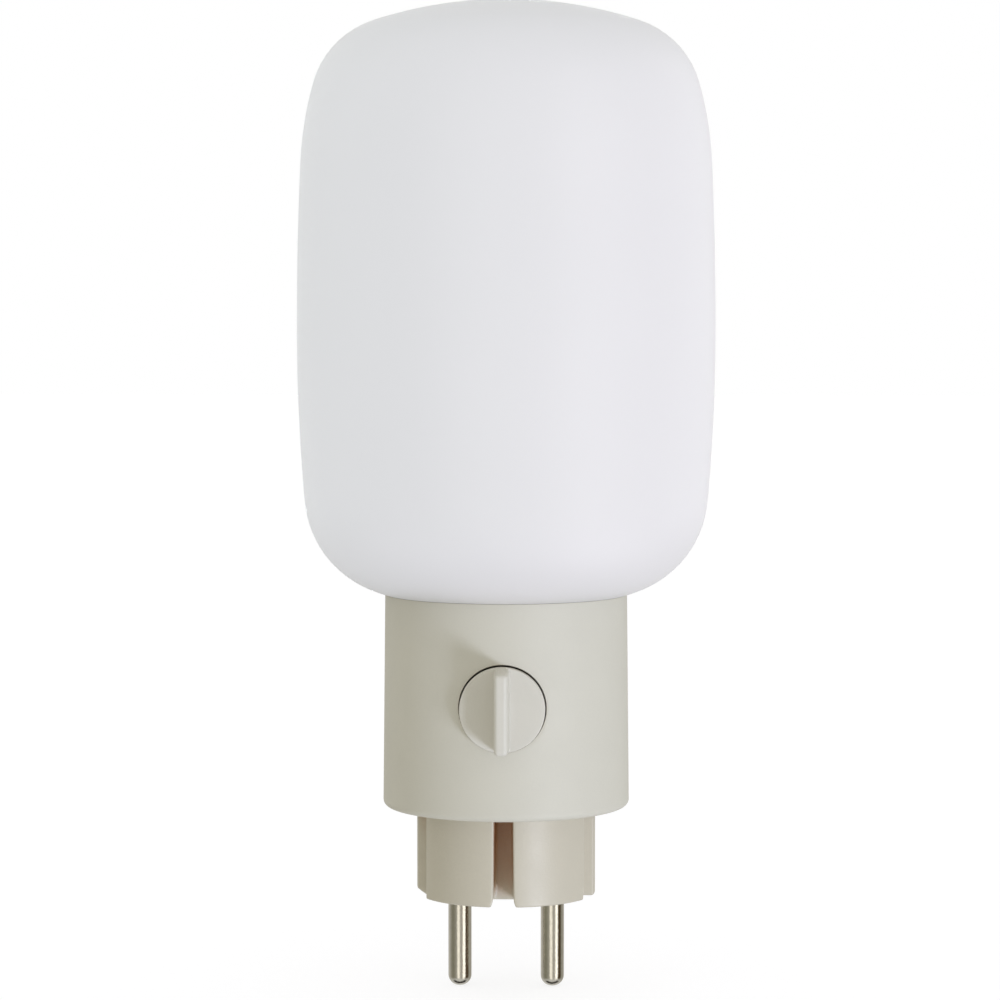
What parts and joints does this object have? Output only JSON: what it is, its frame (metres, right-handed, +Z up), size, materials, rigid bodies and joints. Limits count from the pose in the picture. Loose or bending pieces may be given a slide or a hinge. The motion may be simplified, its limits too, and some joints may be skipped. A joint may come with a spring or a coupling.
{
  "type": "plug-in lamp",
  "caption": "Plug-in lamp: opal glass diffuser on a round housing with a rotary dimmer knob, carried by a mains plug with two round pins.",
  "frame": {"origin": "centre of the plug's contact face, midway between the two pins", "axes": "+Z up through the housing to the crown of the glass, pins towards -Z, knob facing -Y, +X to the right of the knob seen from the front"},
  "size_m": [0.085, 0.085, 0.2012],
  "materials": {
    "opal_glass": "acid-etched opal glass, matt white",
    "beige_plastic": "fine satin moulding in warm beige",
    "plug_plastic": "smooth moulding in warm beige",
    "nickel": "nickel plate on brass, lightly brushed",
    "steel": "zinc-plated steel",
    "brass": "plain brass",
    "silicone": "translucent white silicone rubber",
    "ceramic": "unglazed steatite",
    "bulb_plastic": "white moulding",
    "bulb_frost": "frosted cover",
    "circuit_board": "green solder mask",
    "yellow_case": "moulded film capacitor case",
    "black_mould": "black moulding compound",
    "ferrite": "sintered ferrite",
    "copper_wire": "enamelled copper",
    "brown_insulation": "brown wire insulation",
    "blue_insulation": "blue wire insulation",
    "white_insulation": "white heat-resistant wire insulation",
    "phenolic": "phenolic laminate",
    "led_chip": "phosphor-coated chips",
    "resistor_body": "lacquered resistor bodies"
  },
  "bodies": {
    "base": {"housing": "beige_plastic", "plug_body": "plug_plastic", "live_pin": "nickel", "neutral_pin": "nickel", "pin_ferrules": "brass", "plug_screws": "steel", "live_lead": "brown_insulation", "neutral_lead": "blue_insulation", "carrier": "white_insulation", "carrier_screws": "steel", "seat_gasket": "silicone", "grip_ring": "silicone", "pot_case": "steel", "pot_bushing": "brass", "pot_washer": "steel", "pot_nut": "brass", "pot_track": "phenolic", "pot_terminals": "steel", "dimmer_board": "circuit_board", "board_screws": "steel", "x2_capacitor": "yellow_case", "choke_core": "ferrite", "choke_winding": "copper_wire", "fuse": "black_mould", "triac": "black_mould", "gate_resistors": "resistor_body", "diac": "led_chip", "lampholder_body": "ceramic", "lampholder_contacts": "brass", "lampholder_screws": "steel", "lamp_leads": "white_insulation"},
    "dimmer_knob": {"knob": "beige_plastic", "pot_shaft": "steel", "pot_rotor": "black_mould", "wiper": "brass"},
    "glass_shade": {"diffuser": "opal_glass"},
    "bulb": {"bulb_base": "bulb_plastic", "bulb_pins": "nickel", "bulb_cover": "bulb_frost", "led_board": "bulb_plastic", "led_chips": "led_chip"}
  },
  "joints": [
    {"name": "knob_turn", "type": "hinge", "parent": "base", "child": "dimmer_knob", "pos_m": [0, 0, 0.0407], "axis": [0, 1, 0], "range_deg": [0, 270]},
    {"name": "glass_lift", "type": "slide", "parent": "base", "child": "glass_shade", "axis": [0, 0, 1], "range_m": [0, 0.07]},
    {"name": "bulb_pull", "type": "slide", "parent": "base", "child": "bulb", "axis": [0, 0, 1], "range_m": [0, 0.016]}
  ]
}
